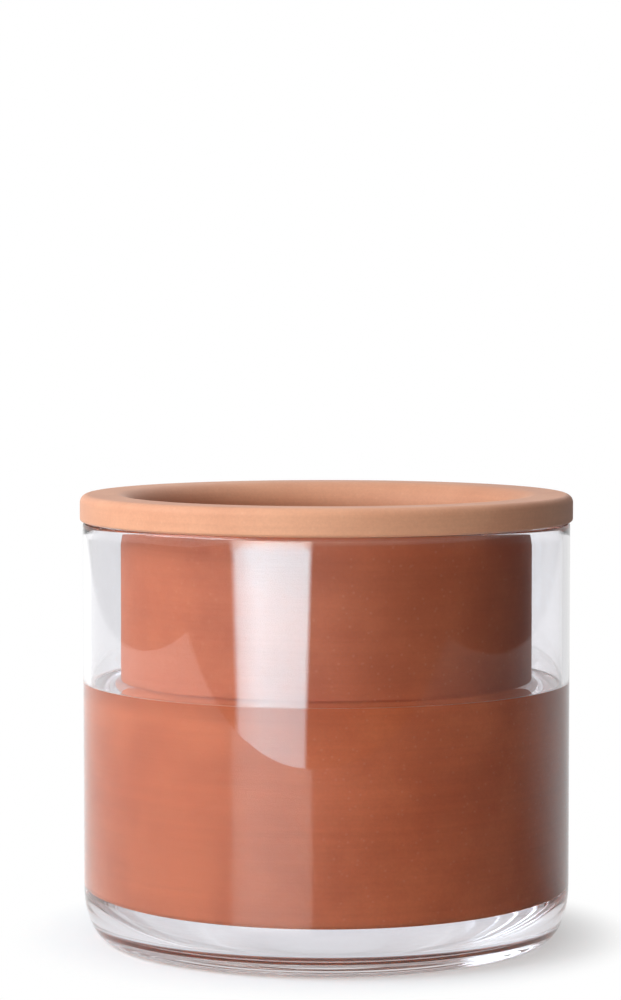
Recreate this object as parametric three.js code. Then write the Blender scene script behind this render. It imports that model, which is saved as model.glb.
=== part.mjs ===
// A self-watering planter: a clear glass vessel, an unglazed clay pot that hangs by its flange on the
// rim of the glass, and the water between them, which seeps through the clay to the soil.
// Millimetres, +Z up. The origin is the centre of the vessel's underside.
import * as THREE from 'three';

// Glass vessel
const GLASS_RADIUS = 90;
const GLASS_HEIGHT = 153.8;
const GLASS_WALL = 2.7;
const GLASS_BASE = 5;
// The foot is rounded like a quarter of an ellipse, higher than it is wide
const GLASS_FOOT_WIDTH = 9;
const GLASS_FOOT_HEIGHT = 19;
// The inside corner is rounded the same way, but wider than it is high
const GLASS_INNER_WIDTH = 10.5;
const GLASS_INNER_HEIGHT = 4;
// The wall is thicker just above the corner and thins out over the taper's length
const GLASS_FOOT_WALL = 4;
const GLASS_TAPER_LENGTH = 48;

// Clay pot
const POT_WALL = 7;
const POT_FLOOR = 8;
const POT_FOOT_ROUND = 2;
const POT_INNER_ROUND = 6;
const FLANGE_HEIGHT = 9.9;
const FLANGE_OVERHANG = 1;
const FLANGE_TOP_ROUND = 3;
const FLANGE_EDGE_ROUND = 1;
const LIP_ROUND = 9;

// Room for water beside the pot, where the vessel is narrowest, and under it
const RESERVOIR_GAP = 10;
const FOOT_GAP = 11.2;

// Water surface, measured down from the rim of the glass
const HEADROOM = 59.3;

// Clearances between pieces that touch
const SEAT_CLEARANCE = 0.3;
const WATER_CLEARANCE = 0.3;

// Facets round the axis, and half the facets of each arc
const SEGMENTS = 64;
const HALF_ARC_STEPS = 3;

const glassInside = GLASS_RADIUS - GLASS_WALL;
const footInside = GLASS_RADIUS - GLASS_FOOT_WALL;
const rimRound = GLASS_WALL / 2;
const innerFlat = footInside - GLASS_INNER_WIDTH;
const taperFoot = GLASS_BASE + GLASS_INNER_HEIGHT;
const taperTop = taperFoot + GLASS_TAPER_LENGTH;

const potRadius = Math.min(glassInside, footInside) - RESERVOIR_GAP;
const potInside = potRadius - POT_WALL;
const potBottom = GLASS_BASE + FOOT_GAP;
const potFloorTop = potBottom + POT_FLOOR;
const flangeUnderside = GLASS_HEIGHT + SEAT_CLEARANCE;
const flangeTop = flangeUnderside + FLANGE_HEIGHT;
const flangeRadius = GLASS_RADIUS + FLANGE_OVERHANG;

const waterLevel = GLASS_HEIGHT - HEADROOM;

const EAST = 0;
const NORTH = Math.PI / 2;
const WEST = Math.PI;
const SOUTH = -Math.PI / 2;

// Adds an arc to a half section, clockwise where the outline goes down the inside of a hollow
function arc(outline, radius, height, round, from, to, clockwise = false) {
  outline.absarc(radius, height, round, from, to, clockwise);
}

// Inside radius of the vessel at a height above its rounded corner
function vesselInside(height) {
  const share = THREE.MathUtils.clamp((height - taperFoot) / GLASS_TAPER_LENGTH, 0, 1);
  return THREE.MathUtils.lerp(footInside, glassInside, share);
}

// Half sections, as radius and height, from the axis round the outside and back to the axis
function glassOutline() {
  const outline = new THREE.Path();
  outline.moveTo(0, 0);
  const flat = GLASS_RADIUS - GLASS_FOOT_WIDTH;
  outline.lineTo(flat, 0);
  outline.absellipse(flat, GLASS_FOOT_HEIGHT, GLASS_FOOT_WIDTH, GLASS_FOOT_HEIGHT, SOUTH, EAST, false);
  arc(outline, GLASS_RADIUS - rimRound, GLASS_HEIGHT - rimRound, rimRound, EAST, WEST);
  outline.lineTo(glassInside, taperTop);
  outline.absellipse(innerFlat, taperFoot, GLASS_INNER_WIDTH, GLASS_INNER_HEIGHT, EAST, SOUTH, true);
  outline.lineTo(0, GLASS_BASE);
  return outline;
}

function potOutline() {
  const outline = new THREE.Path();
  outline.moveTo(0, potBottom);
  outline.lineTo(potRadius - POT_FOOT_ROUND, potBottom);
  arc(outline, potRadius - POT_FOOT_ROUND, potBottom + POT_FOOT_ROUND, POT_FOOT_ROUND, SOUTH, EAST);
  outline.lineTo(potRadius, flangeUnderside);
  const edge = flangeRadius - FLANGE_EDGE_ROUND;
  arc(outline, edge, flangeUnderside + FLANGE_EDGE_ROUND, FLANGE_EDGE_ROUND, SOUTH, EAST);
  const shoulder = flangeRadius - FLANGE_TOP_ROUND;
  arc(outline, shoulder, flangeTop - FLANGE_TOP_ROUND, FLANGE_TOP_ROUND, EAST, NORTH);
  arc(outline, potInside + LIP_ROUND, flangeTop - LIP_ROUND, LIP_ROUND, NORTH, WEST);
  const corner = potInside - POT_INNER_ROUND;
  arc(outline, corner, potFloorTop + POT_INNER_ROUND, POT_INNER_ROUND, EAST, SOUTH, true);
  outline.lineTo(0, potFloorTop);
  return outline;
}

function waterOutline() {
  const outline = new THREE.Path();
  const gap = WATER_CLEARANCE;
  const shoulder = Math.min(taperTop, waterLevel);
  outline.moveTo(0, GLASS_BASE + gap);
  outline.lineTo(innerFlat, GLASS_BASE + gap);
  const width = GLASS_INNER_WIDTH - gap;
  const height = GLASS_INNER_HEIGHT - gap;
  outline.absellipse(innerFlat, taperFoot, width, height, SOUTH, EAST, false);
  outline.lineTo(vesselInside(shoulder) - gap, shoulder);
  outline.lineTo(vesselInside(waterLevel) - gap, waterLevel);
  outline.lineTo(potRadius + gap, waterLevel);
  const foot = potBottom + POT_FOOT_ROUND;
  arc(outline, potRadius - POT_FOOT_ROUND, foot, POT_FOOT_ROUND + gap, EAST, SOUTH, true);
  outline.lineTo(0, potBottom - gap);
  return outline;
}

// A round piece, turned about the vertical axis from its half section
function turned(name, outline, material) {
  const geometry = new THREE.LatheGeometry(outline.getPoints(HALF_ARC_STEPS), SEGMENTS);
  geometry.rotateX(Math.PI / 2);
  const mesh = new THREE.Mesh(geometry, material);
  mesh.name = name;
  return mesh;
}

function clear(color, opacity) {
  return new THREE.MeshStandardMaterial({ color, opacity, transparent: true, roughness: 0.03, metalness: 0 });
}

const glass = clear(0xeef1f3, 0.25);
const liquid = clear(0xdfe8ec, 0.35);
const clay = new THREE.MeshStandardMaterial({ color: 0xc9815d, roughness: 0.9, metalness: 0 });

const planter = new THREE.Group();
planter.add(turned('glass_vessel', glassOutline(), glass));
planter.add(turned('water', waterOutline(), liquid));
planter.add(turned('terracotta_pot', potOutline(), clay));

export default planter;
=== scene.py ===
"""Looks of a self-watering planter: a glass vessel, a clay pot that hangs in it and the water between them.

Metres, +Z up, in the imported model's frame. Every piece is turned from a half section, as the solid that it
stands for is, with finer steps and materials of its own.
"""
import math

import bpy
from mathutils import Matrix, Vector, noise


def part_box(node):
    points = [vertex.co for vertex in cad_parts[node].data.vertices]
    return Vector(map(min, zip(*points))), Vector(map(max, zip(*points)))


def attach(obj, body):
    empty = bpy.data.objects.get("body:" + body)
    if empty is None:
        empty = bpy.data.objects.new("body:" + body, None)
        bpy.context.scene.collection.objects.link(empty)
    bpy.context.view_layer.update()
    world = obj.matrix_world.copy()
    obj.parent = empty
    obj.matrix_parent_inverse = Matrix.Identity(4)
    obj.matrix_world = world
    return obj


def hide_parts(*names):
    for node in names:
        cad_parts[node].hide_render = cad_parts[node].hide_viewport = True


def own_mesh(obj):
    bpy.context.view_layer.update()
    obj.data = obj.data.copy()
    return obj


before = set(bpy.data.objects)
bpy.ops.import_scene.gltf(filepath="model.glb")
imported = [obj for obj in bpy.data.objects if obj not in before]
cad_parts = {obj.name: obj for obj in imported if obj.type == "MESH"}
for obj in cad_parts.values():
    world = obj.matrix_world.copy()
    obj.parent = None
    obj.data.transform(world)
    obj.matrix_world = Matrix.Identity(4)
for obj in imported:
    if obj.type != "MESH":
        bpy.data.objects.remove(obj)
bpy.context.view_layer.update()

MM = 0.001

# Glass vessel
GLASS_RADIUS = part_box("glass_vessel")[1].x
GLASS_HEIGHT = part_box("glass_vessel")[1].z
GLASS_WALL = 2.7 * MM
GLASS_BASE = 5 * MM
GLASS_FOOT_WIDTH = 9 * MM
GLASS_FOOT_HEIGHT = 19 * MM
GLASS_FOOT_WALL = 4 * MM
GLASS_INNER_WIDTH = 10.5 * MM
GLASS_INNER_HEIGHT = 4 * MM
GLASS_TAPER_LENGTH = 48 * MM

# Clay pot
POT_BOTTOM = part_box("terracotta_pot")[0].z
FLANGE_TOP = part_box("terracotta_pot")[1].z
FLANGE_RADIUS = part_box("terracotta_pot")[1].x
FLANGE_HEIGHT = 9.9 * MM
FLANGE_TOP_ROUND = 3 * MM
FLANGE_EDGE_ROUND = 1 * MM
LIP_ROUND = 9 * MM
POT_WALL = 7 * MM
POT_FLOOR = 8 * MM
POT_FOOT_ROUND = 2 * MM
POT_INNER_ROUND = 6 * MM
RESERVOIR_GAP = 10 * MM

# How far a thrown wall departs from a true cylinder: slow wander, and the ridges left by the fingers
CLAY_WANDER = 0.12 * MM
CLAY_RIDGE = 0.02 * MM
CLAY_RIDGE_PITCH = 2.2 * MM
# How quickly both change, per metre across and up
CLAY_WANDER_ACROSS = 12
CLAY_WANDER_UP = 25
CLAY_RIDGE_ACROSS = 5

# Water: its surface climbs the glass and the clay
WATER_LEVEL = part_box("water")[1].z
MENISCUS_ON_GLASS = 0.4 * MM
MENISCUS_ON_CLAY = 1.6 * MM
MENISCUS_REACH = 2.2 * MM
WATER_CLEARANCE = 0.3 * MM
WATER_IN_CLAY = 2 * MM
# Width of the band along the glass that carries the painted highlight
HIGHLIGHT_BAND_WIDTH = 2 * MM
# How far the pot lifts, and the share of its depth that the water then keeps
POT_LIFT = 0.15
WATER_KEPT = 0.34

# Steps of the turned meshes
SEGMENTS = 160
ARC_STEPS = 14
FOOT_STEPS = 30
STRAIGHT_STEP = 4 * MM
RIDGE_STEP = 0.8 * MM
POT_INSIDE_STEP = 1.6 * MM
MENISCUS_STEP = 0.4 * MM
# A share of a step, and a difference in radius, that count as nothing
STEP_SLACK = 0.001
RADIUS_SLACK = 0.001 * MM

# Camera, fitted to the photograph, with its angles in degrees
CAMERA_PLACE = (0, -1.2, 0.2346)
CAMERA_PITCH = 3.49
CAMERA_YAW = 0.28
CAMERA_FOCAL_PIXELS = 3249
IMAGE_HEIGHT = 1000
SENSOR = 36

# Table under the object, whose edges are seen in the glass
TABLE_FRONT = 0.605
TABLE_LEFT = 1.1
TABLE_RIGHT = 1.09
TABLE_FAR = 4
TABLE_TURN = -4.6
TABLE_GAP = 0.3 * MM

# Lamps, all aimed at the middle of the object
LAMP_TARGET = (0, 0, FLANGE_TOP / 2)
FRONT_LAMP_PLACE = (-0.69, -1.44, 0.1)
FRONT_LAMP_SIZE = (1.2, 0.72)
FRONT_LAMP_LEVEL = 9.0
LEFT_LAMP_PLACE = (-1.13, -0.41, 0.95)
LEFT_LAMP_SIZE = (1.2, 0.9)
LEFT_LAMP_LEVEL = 6.6
LEFT_LAMP_COLOUR = (0.86, 1, 1.08)
TOP_LAMP_PLACE = (0, 0, 1.6)
TOP_LAMP_SIZE = (1.4, 1.4)
TOP_LAMP_LEVEL = 1.0

glass_inside = GLASS_RADIUS - GLASS_WALL
foot_inside = GLASS_RADIUS - GLASS_FOOT_WALL
inner_flat = foot_inside - GLASS_INNER_WIDTH
taper_foot = GLASS_BASE + GLASS_INNER_HEIGHT
pot_radius = foot_inside - RESERVOIR_GAP
pot_inside = pot_radius - POT_WALL
pot_floor_top = POT_BOTTOM + POT_FLOOR
flange_underside = FLANGE_TOP - FLANGE_HEIGHT


# Half sections, as lists of (radius, height)


def straight(points, radius, height, step=STRAIGHT_STEP):
    """Goes on in a straight line, in steps short enough to shade evenly. Adds no point twice."""
    start_radius, start_height = points[-1]
    across = radius - start_radius
    up = height - start_height
    count = math.ceil(math.hypot(across, up) / step - STEP_SLACK)
    for i in range(1, count + 1):
        share = i / count
        points.append((start_radius + across * share, start_height + up * share))


def arc(points, radius, height, bend, start, end, step=STRAIGHT_STEP, tall=1, steps=ARC_STEPS):
    """Goes straight to an arc about (radius, height), then along it between two angles in degrees.

    tall is how much higher than wide the arc is.
    """
    for i in range(steps + 1):
        angle = math.radians(start + (end - start) * i / steps)
        place = (radius + bend * math.cos(angle), height + bend * tall * math.sin(angle))
        if i == 0:
            straight(points, *place, step)
        else:
            points.append(place)


def vessel_inside(height):
    """Inside radius of the vessel above its corner, where the wall thins out upwards."""
    share = min(max((height - taper_foot) / GLASS_TAPER_LENGTH, 0), 1)
    return foot_inside + (glass_inside - foot_inside) * share


def vessel_inside_run(points, outwards, start, end):
    """Goes along the inside of the vessel's wall between two heights, moved outwards."""
    count = math.ceil(abs(end - start) / STRAIGHT_STEP)
    for i in range(1, count + 1):
        height = start + (end - start) * i / count
        points.append((vessel_inside(height) + outwards, height))


def glass_section():
    rim = GLASS_WALL / 2
    flat = GLASS_RADIUS - GLASS_FOOT_WIDTH
    outer_tall = GLASS_FOOT_HEIGHT / GLASS_FOOT_WIDTH
    inner_tall = GLASS_INNER_HEIGHT / GLASS_INNER_WIDTH
    points = [(0, 0)]
    arc(points, flat, GLASS_FOOT_HEIGHT, GLASS_FOOT_WIDTH, -90, 0, tall=outer_tall, steps=FOOT_STEPS)
    arc(points, GLASS_RADIUS - rim, GLASS_HEIGHT - rim, rim, 0, 180)
    vessel_inside_run(points, 0, GLASS_HEIGHT - rim, taper_foot)
    arc(points, inner_flat, taper_foot, GLASS_INNER_WIDTH, 0, -90, tall=inner_tall, steps=FOOT_STEPS)
    straight(points, 0, GLASS_BASE)
    return points


def pot_section():
    foot = pot_radius - POT_FOOT_ROUND
    edge = FLANGE_RADIUS - FLANGE_EDGE_ROUND
    shoulder = FLANGE_RADIUS - FLANGE_TOP_ROUND
    corner = pot_inside - POT_INNER_ROUND
    points = [(0, POT_BOTTOM)]
    arc(points, foot, POT_BOTTOM + POT_FOOT_ROUND, POT_FOOT_ROUND, -90, 0)
    straight(points, pot_radius, flange_underside, RIDGE_STEP)
    arc(points, edge, flange_underside + FLANGE_EDGE_ROUND, FLANGE_EDGE_ROUND, -90, 0)
    arc(points, shoulder, FLANGE_TOP - FLANGE_TOP_ROUND, FLANGE_TOP_ROUND, 0, 90, RIDGE_STEP)
    arc(points, pot_inside + LIP_ROUND, FLANGE_TOP - LIP_ROUND, LIP_ROUND, 90, 180, RIDGE_STEP)
    straight(points, pot_inside, pot_floor_top + POT_INNER_ROUND, POT_INSIDE_STEP)
    arc(points, corner, pot_floor_top + POT_INNER_ROUND, POT_INNER_ROUND, 0, -90)
    straight(points, 0, pot_floor_top)
    return points


def surface_height(radius):
    """Height of the water's surface, which climbs the glass and the clay."""
    on_glass = MENISCUS_ON_GLASS * math.exp(-abs(glass_inside - radius) / MENISCUS_REACH)
    on_clay = MENISCUS_ON_CLAY * math.exp(-abs(radius - pot_radius) / MENISCUS_REACH)
    return WATER_LEVEL + on_glass + on_clay


def water_section():
    """The whole fill, as if there were no pot in it. Only its surface touches the glass."""
    width = GLASS_INNER_WIDTH - WATER_CLEARANCE
    height = GLASS_INNER_HEIGHT - WATER_CLEARANCE
    points = [(0, GLASS_BASE + WATER_CLEARANCE)]
    arc(points, inner_flat, taper_foot, width, -90, 0, tall=height / width, steps=FOOT_STEPS)
    vessel_inside_run(points, -WATER_CLEARANCE, taper_foot, WATER_LEVEL)
    count = math.ceil((glass_inside - pot_radius + WATER_IN_CLAY) / MENISCUS_STEP)
    for i in range(count + 1):
        radius = glass_inside - MENISCUS_STEP * i
        points.append((radius, surface_height(radius)))
    straight(points, 0, WATER_LEVEL)
    return points


def hollow_section():
    """What the pot keeps clear of water: its outside, a little smaller, up past the surface."""
    radius = pot_radius - WATER_IN_CLAY
    floor = POT_BOTTOM + WATER_IN_CLAY
    points = [(0, floor)]
    straight(points, radius, floor)
    straight(points, radius, flange_underside)
    straight(points, 0, flange_underside)
    return points


# Turned meshes


def add_object(name, data):
    made = bpy.data.objects.new(name, data)
    bpy.context.scene.collection.objects.link(made)
    return made


def turned(name, section, materials, slot_of=None, wander=None):
    """A closed mesh turned about the Z axis from a half section that starts and ends on it.

    slot_of picks the material of a band from its two ends, and wander moves a point from its true place.
    """
    vertices = [(0, 0, section[0][1])]
    for radius, height in section[1:-1]:
        for i in range(SEGMENTS):
            angle = math.tau * i / SEGMENTS
            place = Vector((radius * math.cos(angle), radius * math.sin(angle), height))
            vertices.append(wander(place) if wander else place)
    vertices.append((0, 0, section[-1][1]))
    rings = len(section) - 2
    last = len(vertices) - 1
    faces = []
    slots = []

    def add_band(low, high):
        slots.extend([slot_of(section[low], section[high]) if slot_of else 0] * SEGMENTS)

    def at(ring, i):
        return 1 + ring * SEGMENTS + i % SEGMENTS

    for i in range(SEGMENTS):
        faces.append((0, at(0, i + 1), at(0, i)))
    add_band(0, 1)
    for ring in range(rings - 1):
        for i in range(SEGMENTS):
            faces.append((at(ring, i), at(ring, i + 1), at(ring + 1, i + 1), at(ring + 1, i)))
        add_band(ring + 1, ring + 2)
    for i in range(SEGMENTS):
        faces.append((at(rings - 1, i), at(rings - 1, i + 1), last))
    add_band(rings, rings + 1)

    mesh = bpy.data.meshes.new(name)
    mesh.from_pydata(vertices, [], faces)
    mesh.polygons.foreach_set("use_smooth", [True] * len(faces))
    mesh.polygons.foreach_set("material_index", slots)
    for material in materials:
        mesh.materials.append(material)
    return add_object(name, mesh)


def thrown(place):
    """A point of the clay, moved in or out as a potter's hands leave it."""
    x, y, z = place
    radius = math.hypot(x, y)
    if radius < MM:
        return place
    slow = noise.noise(Vector((x * CLAY_WANDER_ACROSS, y * CLAY_WANDER_ACROSS, z * CLAY_WANDER_UP)))
    ridge = noise.noise(Vector((x * CLAY_RIDGE_ACROSS, y * CLAY_RIDGE_ACROSS, z / CLAY_RIDGE_PITCH)))
    grown = 1 + (CLAY_WANDER * slow + CLAY_RIDGE * ridge) / radius
    return Vector((x * grown, y * grown, z))


# Materials


class Nodes:
    """A short way to add and join the nodes of a material, a lamp or the world."""

    def __init__(self, owner):
        owner.use_nodes = True
        self.tree = owner.node_tree
        self.tree.nodes.clear()

    def add(self, kind, inputs=None, **settings):
        """Adds a node. Each input is a value, or the output of another node to link to."""
        made = self.tree.nodes.new("ShaderNode" + kind)
        for name, value in settings.items():
            setattr(made, name, value)
        for name, value in (inputs or {}).items():
            if isinstance(value, bpy.types.NodeSocket):
                self.tree.links.new(value, made.inputs[name])
            else:
                made.inputs[name].default_value = value
        return made

    def value(self, kind, inputs=None, **settings):
        return self.add(kind, inputs, **settings).outputs[0]

    def math(self, operation, first, second=0.0):
        return self.value("Math", {0: first, 1: second}, operation=operation)

    def parts(self, vector):
        return self.add("SeparateXYZ", {"Vector": vector}).outputs

    def between(self, value, low, high, to_low=0.0, to_high=1.0):
        """Maps low..high smoothly to to_low..to_high."""
        inputs = {"Value": value, "From Min": low, "From Max": high, "To Min": to_low, "To Max": to_high}
        return self.value("MapRange", inputs, interpolation_type="SMOOTHSTEP")

    def noise(self, vector, scale, detail=2.0, roughness=0.5):
        inputs = {"Vector": vector, "Scale": scale, "Detail": detail, "Roughness": roughness}
        return self.value("TexNoise", inputs)

    def mix(self, factor, first, second):
        """Mixes two colours. The node has sockets for other kinds of value too, so these are numbered."""
        return self.add("Mix", {0: factor, 6: first, 7: second}, data_type="RGBA").outputs[2]

    def finish(self, shader, kind="OutputMaterial"):
        output = self.add(kind)
        self.tree.links.new(shader, output.inputs["Surface"])


def linear(red, green, blue):
    """A colour given as 0 to 255 on screen, as Blender's linear values, by the sRGB formula."""
    parts = [value / 255 for value in (red, green, blue)]
    return [v / 12.92 if v <= 0.04045 else ((v + 0.055) / 1.055) ** 2.4 for v in parts] + [1]


# Clay: dry on the flange, damp under it, and soaked where it stands in the water. There it is also painted
# lighter, as painted light for what the water and glass take away
DRY_DEEP = linear(207, 139, 104)
DRY_PALE = linear(219, 153, 117)
DRY_SPECULAR = 0.5
DRY_SHEEN = 0.2
DAMP_DEEP = linear(177, 89, 55)
DAMP_PALE = linear(193, 103, 66)
DAMP_SPECULAR = 0.3
DAMP_TOP = flange_underside - 0.5 * MM
DAMP_FADE = 3 * MM
DAMP_WANDER = 2 * MM
# Painted light: the soaked clay is painted lighter than the damp clay, to make up for the light that the
# water and glass take from it
SOAKED_LIGHTENED_DEEP = linear(198, 102, 60)
SOAKED_LIGHTENED_PALE = linear(213, 116, 71)
SOAKED_LIGHTENED_TOP = WATER_LEVEL + 2 * MM
SOAKED_LIGHTENED_FADE = 3 * MM
# Painted light: the underside, lighter and redder than the clay beside it, against the shade under the pot
UNDERSIDE_PAINTED_LIGHT = linear(226, 118, 62)
UNDERSIDE_LIGHT_FADE = 1 * MM

# Patterns of the clay: scales per metre, the stretch of each pattern's values that shows, and depths
MOTTLE_SCALE = 26
MOTTLE_STRETCH = (0.3, 0.7)
STREAK_SCALE = (9, 9, 620)
STREAK_STRETCH = (0.25, 0.75)
STREAK_DEPTH = 0.2 * MM
GRAIN_SCALE = 950
GRAIN_STRETCH = (0.3, 0.7)
GRAIN_DEPTH = 0.12 * MM
SPECK = linear(236, 190, 160)
SPECK_SCALE = 330
SPECK_STRETCH = (0.1, 0.2)
SPECK_STRENGTH = 0.08
# Darkest and lightest tone that the streaks, and the grain, give a colour
TONES = (0.97, 1.03)

# Glass and water: tints, how strongly they bend light, and the waves in their surfaces, and the pale tint of
# a painted highlight along the water's edge
GLASS_TINT = (0.982, 0.977, 1, 1)
WATER_TINT = (0.99, 0.985, 0.99, 1)
# Painted highlight: a pale tint for the band where the water meets the glass
EDGE_HIGHLIGHT_TINT = (0.95, 0.9, 0.86, 1)
WHITE = (1, 1, 1, 1)
GLASS_IOR = 1.5
WATER_IOR = 1.333
WAVE_SCALE = 28
GLASS_WAVINESS = 0.02
WATER_WAVINESS = 0.004
# Height over which the glass goes from wet to dry
WET_FADE = 0.02 * MM

# Material slots of the glass and of the water
GLASS_OUTER, GLASS_INNER = range(2)
# The water's third slot is the band along the glass with the painted highlight
WATER_TOP, WATER_SIDE, WATER_RIM_HIGHLIGHT = range(3)


def height_at_rest_level(nodes, in_vessel, in_pot):
    """A point's height in the vessel, raised by as much as the water has sunk.

    The water sinks as the pot leaves it, and how far the pot is lifted shows in the difference between a
    point's height in the vessel and its height in the pot.
    """
    lift = nodes.math("SUBTRACT", in_vessel, in_pot)
    depth = surface_height(glass_inside) - GLASS_BASE
    sunk = nodes.math("MULTIPLY", lift, depth * (1 - WATER_KEPT) / POT_LIFT)
    return nodes.math("ADD", in_vessel, sunk)


def clay_material():
    made = bpy.data.materials.new("terracotta")
    nodes = Nodes(made)
    place = nodes.add("TexCoord").outputs["Object"]
    height = nodes.parts(place)["Z"]
    in_vessel = nodes.parts(nodes.add("NewGeometry").outputs["Position"])["Z"]
    over_base = height_at_rest_level(nodes, in_vessel, height)
    along = nodes.value("Mapping", {"Vector": place, "Scale": STREAK_SCALE})

    mottle = nodes.noise(place, MOTTLE_SCALE, detail=5, roughness=0.6)
    streak = nodes.noise(along, 1, detail=3, roughness=0.6)
    grain = nodes.noise(place, GRAIN_SCALE, detail=3, roughness=0.65)
    cells = nodes.value("TexVoronoi", {"Vector": place, "Scale": SPECK_SCALE})
    speck = nodes.between(cells, *SPECK_STRETCH, SPECK_STRENGTH, 0)

    edge = nodes.math("ADD", height, nodes.math("MULTIPLY", mottle, DAMP_WANDER))
    damp = nodes.between(edge, DAMP_TOP - DAMP_FADE, DAMP_TOP, 1, 0)
    # Where the clay is soaked, and also gets the painted light of the lighter soaked colours
    soaked_and_lightened = nodes.between(over_base, SOAKED_LIGHTENED_TOP - SOAKED_LIGHTENED_FADE, SOAKED_LIGHTENED_TOP, 1, 0)
    # The pot's shaded underside, which gets painted light
    painted_underside_light = nodes.between(height, POT_BOTTOM, POT_BOTTOM + UNDERSIDE_LIGHT_FADE, 1, 0)

    shade = nodes.between(mottle, *MOTTLE_STRETCH)
    dry_colour = nodes.mix(shade, DRY_DEEP, DRY_PALE)
    damp_colour = nodes.mix(shade, DAMP_DEEP, DAMP_PALE)
    soaked_lightened_colour = nodes.mix(shade, SOAKED_LIGHTENED_DEEP, SOAKED_LIGHTENED_PALE)
    below_water_lightened = nodes.mix(painted_underside_light, soaked_lightened_colour, UNDERSIDE_PAINTED_LIGHT)
    # Damp clay, or soaked clay painted lighter
    wet_and_lightened_colour = nodes.mix(soaked_and_lightened, damp_colour, below_water_lightened)
    colour = nodes.mix(damp, dry_colour, wet_and_lightened_colour)
    specked = nodes.mix(speck, colour, SPECK)
    lines = nodes.between(streak, *STREAK_STRETCH, *TONES)
    grained = nodes.between(grain, *GRAIN_STRETCH, *TONES)
    tone = nodes.math("MULTIPLY", lines, grained)
    final = nodes.value("HueSaturation", {"Color": specked, "Value": tone})

    ridges = nodes.value("Bump", {"Height": streak, "Strength": 0.2, "Distance": STREAK_DEPTH})
    rough = nodes.value("Bump", {
        "Height": grain,
        "Strength": 0.3,
        "Distance": GRAIN_DEPTH,
        "Normal": ridges,
    })
    shader = nodes.value("BsdfPrincipled", {
        "Base Color": final,
        "Roughness": 0.7,
        "Specular IOR Level": nodes.between(damp, 0, 1, DRY_SPECULAR, DAMP_SPECULAR),
        "Diffuse Roughness": 0.2,
        "Sheen Weight": nodes.between(damp, 0, 1, DRY_SHEEN, 0),
        "Sheen Roughness": 0.5,
        "Normal": rough,
    })
    nodes.finish(shader)
    return made


def clear_material(name, tint, waviness, ior):
    """A clear material with slow waves in its surface.

    ior says how strongly it bends light: a number, or a function that adds nodes for it.
    """
    made = bpy.data.materials.new(name)
    nodes = Nodes(made)
    place = nodes.add("TexCoord").outputs["Object"]
    waves = nodes.noise(place, WAVE_SCALE, detail=1)
    normal = nodes.value("Bump", {"Height": waves, "Strength": waviness, "Distance": 1 * MM})
    shader = nodes.value("BsdfPrincipled", {
        "Base Color": tint,
        "Roughness": 0,
        "IOR": ior(nodes) if callable(ior) else ior,
        "Transmission Weight": 1,
        "Normal": normal,
    })
    nodes.finish(shader)
    return made


def edge_highlight_material():
    """The edge of the water's surface along the glass: a pale, partly matt band, a painted highlight for the
    bright line that the water shows there.
    """
    made = bpy.data.materials.new("water_edge_highlight")
    nodes = Nodes(made)
    shader = nodes.value("BsdfPrincipled", {
        "Base Color": EDGE_HIGHLIGHT_TINT,
        "Roughness": 0.3,
        "IOR": WATER_IOR,
        "Transmission Weight": 0.4,
    })
    nodes.finish(shader)
    return made


def glass_against_water(pot):
    """Makes nodes for how strongly the inside of the glass bends light: less where water wets it."""

    def add_nodes(nodes):
        heights = []
        for owner in (None, pot):
            place = nodes.add("TexCoord", object=owner).outputs["Object"]
            heights.append(nodes.parts(place)["Z"])
        over_base = height_at_rest_level(nodes, *heights)
        top = surface_height(glass_inside)
        return nodes.between(over_base, top - WET_FADE, top, GLASS_IOR / WATER_IOR, GLASS_IOR)

    return add_nodes


# Pieces


def make_pot():
    pot = turned("clay_pot", pot_section(), [clay_material()], wander=thrown)
    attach(pot, "pot")
    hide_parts("terracotta_pot")
    return pot


def make_glass(pot):
    """The vessel. Its inside is a material of its own, for what water does to it."""

    def side_of_wall(first, second):
        past_rim = first[0] < GLASS_RADIUS - GLASS_WALL / 2
        return GLASS_INNER if past_rim and second[0] < first[0] + RADIUS_SLACK else GLASS_OUTER

    outer = clear_material("glass_outside", GLASS_TINT, GLASS_WAVINESS, GLASS_IOR)
    inner = clear_material("glass_inside", GLASS_TINT, GLASS_WAVINESS, glass_against_water(pot))
    glass = turned("vessel_glass", glass_section(), [outer, inner], side_of_wall)
    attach(glass, "vessel")
    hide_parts("glass_vessel")


def make_water():
    """The fill, with the pot's shape cut out of it. It sinks as the pot is lifted out.

    Only its surface bends light. At its sides and floor, the inside of the glass does that.
    """

    def part_of_fill(first, second):
        if second[0] > first[0] or first[1] < WATER_LEVEL:
            return WATER_SIDE
        # The band along the glass takes the painted highlight
        return WATER_RIM_HIGHLIGHT if second[0] > glass_inside - HIGHLIGHT_BAND_WIDTH else WATER_TOP

    surface = clear_material("water_surface", WATER_TINT, WATER_WAVINESS, WATER_IOR)
    side = clear_material("water_side", WHITE, waviness=0, ior=1)
    water = turned("water_fill", water_section(), [surface, side, edge_highlight_material()], part_of_fill)
    hollow = turned("water_hollow", hollow_section(), [side])
    hollow.hide_render = True
    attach(hollow, "pot")
    cut = water.modifiers.new("pot_hollow", "BOOLEAN")
    cut.object = hollow
    cut.operation = "DIFFERENCE"
    cut.solver = "EXACT"
    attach(water, "vessel")
    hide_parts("water")
    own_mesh(water)


# Stage

# A ramp is (start, end) or (start, end, level at the start, level at the end)

# Table: its colours, and the light added to it close to the object where it is seen
TABLE_GREY = (0.45, 0.45, 0.46, 1)
TABLE_GLOSS = (0.28, 0.28, 0.28, 1)
TABLE_LIFT = 0.5
TABLE_LIFT_THROUGH_GLASS = 0.85
WHITE_THROUGH_GLASS = 0.83
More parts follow.
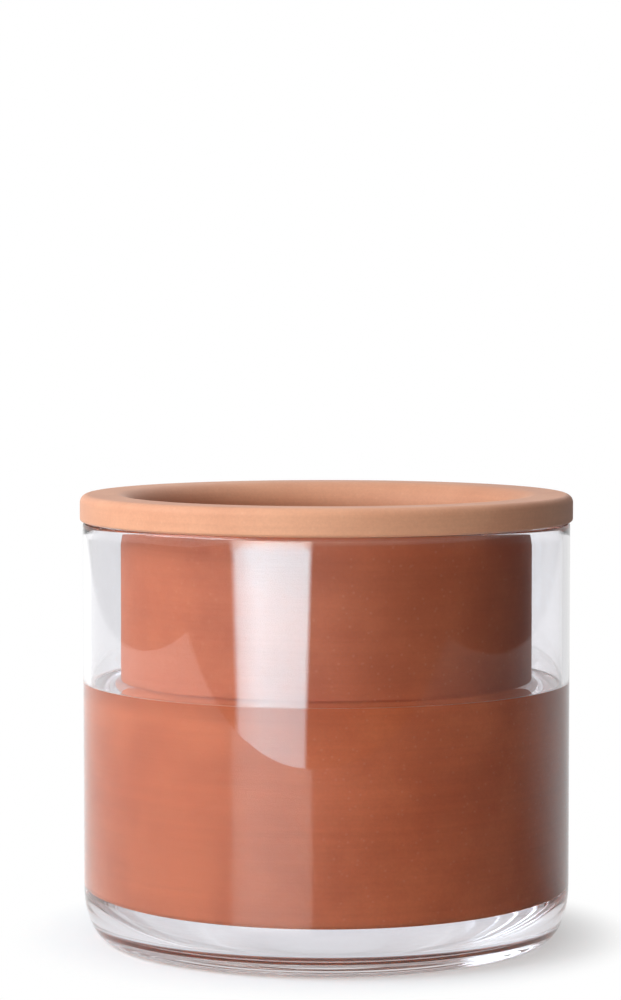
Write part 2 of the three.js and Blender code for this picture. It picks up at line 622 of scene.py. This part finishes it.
# Distances from the middle over which that light, the plain white and the look in reflections set in
LIFT_RAMP = (0.07, 0.085)
WHITE_RAMP = (0.086, 0.12)
REFLECTED_RAMP = (0.1, 0.16)
# Painted light: the level at which the table glows in reflections, brighter on the left, from left to right
# in front of the object and behind it
TABLE_LEVEL_IN_FRONT = (-1, 0.7, 1.05, 0)
TABLE_LEVEL_BEHIND = (-0.6, 0.6, 0.88, 0.52)
TABLE_FRONT_TO_BACK = (0, 0.7)

# Room: level of the light that falls on the object, from left to right
ROOM_LIGHT = (-1, 1, 0.14, 0.06)
# Level of the room in reflections: under the horizon from left to right, and over it from low to high
LOW_IN_FRONT = (-0.8, 0.8, 0.6, 0.06)
LOW_BEHIND = (-0.9, 0.9, 0.92, 0.6)
LOW_FRONT_TO_BACK = (0.2, 0.7)
HORIZON = (-0.01, 0.01)
HIGH_BEHIND = (0.2, 0.23, 0.82, 1.05)
CEILING_RAMP = (0.25, 0.3)
CEILING = 0.95
HIGH_IN_FRONT = 1
HIGH_FRONT_TO_BACK = (-0.3, 0.3)

# Softened lamp, measured from 0 to 1 across it and up it
LAMP_MIDDLE = 0.5
LAMP_HALF_WIDTH = (0.1, 0.5, 0.42, 0.5)
LAMP_LEFT_EDGE = (0.03, 0.13, 0, 0.64)
LAMP_LEFT_FADE = (0.08, 0.36, 0, 0.36)
LAMP_RIGHT_EDGE = (0, 0.08)
LAMP_LEVEL_UP = (0.1, 0.5, 0.8, 1)
LAMP_LEVEL_ACROSS = (0, 1, 1.1, 0.85)
LAMP_COLOUR_RAMP = (0.45, 0.6)
LAMP_LOW_COLOUR = (0.7, 1.02, 1.12, 1)
LAMP_HIGH_COLOUR = (1.02, 0.95, 0.9, 1)

# Counts of bounces: halfway between none and the first, and the most that light may take
HALF_BOUNCE = 0.5
CLEAR_BOUNCES = 64
MOST_BOUNCES = 96


def seen(nodes):
    """1 for what the camera sees, straight, in reflections or through glass.

    It is 0 for what lights the object.
    """
    path = nodes.add("LightPath").outputs
    clear = nodes.math("MAXIMUM", path["Is Glossy Ray"], path["Is Transmission Ray"])
    looked_at = nodes.math("MAXIMUM", path["Is Camera Ray"], clear)
    return nodes.math("MULTIPLY", looked_at, nodes.math("LESS_THAN", path["Diffuse Depth"], HALF_BOUNCE))


def mirrored(nodes):
    """1 for what is seen in a reflection."""
    return nodes.math("GREATER_THAN", nodes.add("LightPath").outputs["Glossy Depth"], HALF_BOUNCE)


def behind_glass(nodes):
    """1 for what is seen through the glass."""
    return nodes.math("GREATER_THAN", nodes.add("LightPath").outputs["Transmission Depth"], HALF_BOUNCE)


def white(nodes):
    """Brightness of the background: white, and a little less through the glass."""
    return nodes.between(behind_glass(nodes), 0, 1, 1, WHITE_THROUGH_GLASS)


def table_material():
    """A grey table top that keeps the object's shade close to the foot and is plain white further off.

    In reflections it glows at painted levels of its own, a painted light that is brighter on the left. All
    but the grey is only for what is seen.
    """
    made = bpy.data.materials.new("white_table")
    made.cycles.emission_sampling = "NONE"
    nodes = Nodes(made)
    top = nodes.value("BsdfPrincipled", {
        "Base Color": TABLE_GREY,
        "Roughness": 0.8,
        "Specular IOR Level": 0.1,
    })
    place = nodes.add("TexCoord").outputs["Object"]
    away = nodes.add("VectorMath", {0: place}, operation="LENGTH").outputs["Value"]
    direction = nodes.parts(nodes.value("VectorMath", {0: place}, operation="NORMALIZE"))
    shown = seen(nodes)

    full_lift = nodes.between(behind_glass(nodes), 0, 1, TABLE_LIFT, TABLE_LIFT_THROUGH_GLASS)
    lift = nodes.between(away, *LIFT_RAMP, 0, full_lift)
    glow = nodes.value("Emission", {"Strength": nodes.math("MULTIPLY", shown, lift)})
    near = nodes.value("AddShader", {0: top, 1: glow})
    far = nodes.value("Emission", {"Strength": white(nodes)})
    distant = nodes.math("MULTIPLY", shown, nodes.between(away, *WHITE_RAMP))
    plain = nodes.value("MixShader", {0: distant, 1: near, 2: far})

    in_front = nodes.between(direction["X"], *TABLE_LEVEL_IN_FRONT)
    behind = nodes.between(direction["X"], *TABLE_LEVEL_BEHIND)
    level = nodes.between(direction["Y"], *TABLE_FRONT_TO_BACK, in_front, behind)
    # A painted glow, for the table as it looks when lit, seen in reflections
    painted_reflected_glow = nodes.value("Emission", {"Strength": level})
    gloss = nodes.value("BsdfGlossy", {"Color": TABLE_GLOSS, "Roughness": 0.2})
    image = nodes.value("AddShader", {0: painted_reflected_glow, 1: gloss})
    beside = nodes.math("MULTIPLY", shown, nodes.between(away, *REFLECTED_RAMP))
    in_mirror = nodes.math("MULTIPLY", mirrored(nodes), beside)
    nodes.finish(nodes.value("MixShader", {0: in_mirror, 1: plain, 2: image}))
    return made


def make_table():
    mesh = bpy.data.meshes.new("table")
    x = (-TABLE_LEFT, TABLE_RIGHT)
    y = (-TABLE_FRONT, TABLE_FAR)
    corners = [(x[0], y[0], 0), (x[1], y[0], 0), (x[1], y[1], 0), (x[0], y[1], 0)]
    mesh.from_pydata(corners, [], [(0, 1, 2, 3)])
    mesh.materials.append(table_material())
    table = add_object("table", mesh)
    table.location.z = -TABLE_GAP
    table.rotation_euler.z = math.radians(TABLE_TURN)


def make_room():
    """A white background, dim light on the object, and a room that only reflections show."""
    world = bpy.data.worlds.new("room")
    bpy.context.scene.world = world
    nodes = Nodes(world)
    direction = nodes.parts(nodes.add("TexCoord").outputs["Generated"])
    light = nodes.value("Background", {"Strength": nodes.between(direction["X"], *ROOM_LIGHT)})
    low_behind = nodes.between(direction["X"], *LOW_BEHIND)
    low_in_front = nodes.between(direction["X"], *LOW_IN_FRONT)
    low = nodes.between(direction["Y"], *LOW_FRONT_TO_BACK, low_in_front, low_behind)
    upwards = nodes.between(direction["Z"], *HIGH_BEHIND)
    high_behind = nodes.between(direction["Z"], *CEILING_RAMP, upwards, CEILING)
    high = nodes.between(direction["Y"], *HIGH_FRONT_TO_BACK, HIGH_IN_FRONT, high_behind)
    image = nodes.value("Background", {"Strength": nodes.between(direction["Z"], *HORIZON, low, high)})
    background = nodes.value("Background", {"Color": WHITE, "Strength": white(nodes)})
    view = nodes.value("MixShader", {0: mirrored(nodes), 1: background, 2: image})
    nodes.finish(nodes.value("MixShader", {0: seen(nodes), 1: light, 2: view}), "OutputWorld")


def soften(light):
    """Fades a lamp out towards its sides, and makes it narrower, dimmer and cooler below."""
    nodes = Nodes(light)
    part = nodes.parts(nodes.add("NewGeometry").outputs["Parametric"])
    half = nodes.between(part["Y"], *LAMP_HALF_WIDTH)
    off_middle = nodes.math("SUBTRACT", part["X"], LAMP_MIDDLE)
    left_part = nodes.math("ADD", half, off_middle)
    right_part = nodes.math("SUBTRACT", half, off_middle)
    left_edge = nodes.between(left_part, *LAMP_LEFT_EDGE)
    from_left = nodes.math("ADD", left_edge, nodes.between(left_part, *LAMP_LEFT_FADE))
    from_right = nodes.between(right_part, *LAMP_RIGHT_EDGE)
    inside = nodes.math("MULTIPLY", from_left, from_right)
    level = nodes.between(part["Y"], *LAMP_LEVEL_UP)
    across = nodes.between(part["X"], *LAMP_LEVEL_ACROSS)
    strength = nodes.math("MULTIPLY", nodes.math("MULTIPLY", inside, level), across)
    upper = nodes.between(part["Y"], *LAMP_COLOUR_RAMP)
    colour = nodes.mix(upper, LAMP_LOW_COLOUR, LAMP_HIGH_COLOUR)
    shader = nodes.value("Emission", {"Color": colour, "Strength": strength})
    nodes.finish(shader, "OutputLight")


def make_lamp(name, place, size, level, colour=(1, 1, 1), softened=False):
    """A rectangular lamp aimed at the object. A larger one of the same level is no brighter to look at."""
    width, height = size
    data = bpy.data.lights.new(name, "AREA")
    data.shape = "RECTANGLE"
    data.size = width
    data.size_y = height
    data.energy = level * math.pi * width * height
    data.color = colour
    if softened:
        soften(data)
    lamp = add_object(name, data)
    lamp.location = place
    lamp.rotation_euler = (Vector(LAMP_TARGET) - Vector(place)).to_track_quat("-Z", "Y").to_euler()
    lamp.visible_camera = False


def make_camera():
    data = bpy.data.cameras.new("camera")
    data.sensor_width = SENSOR
    data.lens = CAMERA_FOCAL_PIXELS / IMAGE_HEIGHT * SENSOR
    camera = add_object("camera", data)
    camera.location = CAMERA_PLACE
    camera.rotation_euler = (math.radians(90 - CAMERA_PITCH), 0, math.radians(CAMERA_YAW))
    bpy.context.scene.camera = camera


make_glass(make_pot())
make_water()
make_table()
make_room()
make_lamp("front_softbox", FRONT_LAMP_PLACE, FRONT_LAMP_SIZE, FRONT_LAMP_LEVEL, softened=True)
make_lamp("left_softbox", LEFT_LAMP_PLACE, LEFT_LAMP_SIZE, LEFT_LAMP_LEVEL, LEFT_LAMP_COLOUR)
make_lamp("top_light", TOP_LAMP_PLACE, TOP_LAMP_SIZE, TOP_LAMP_LEVEL)
make_camera()

bpy.context.scene.view_settings.view_transform = "Standard"
# Keeps glass clear to the light that comes back through it from the clay
bpy.context.scene.cycles.blur_glossy = 0
# Lets light go the long way through the foot of the glass
bpy.context.scene.cycles.max_bounces = MOST_BOUNCES
bpy.context.scene.cycles.glossy_bounces = CLEAR_BOUNCES
bpy.context.scene.cycles.transmission_bounces = CLEAR_BOUNCES
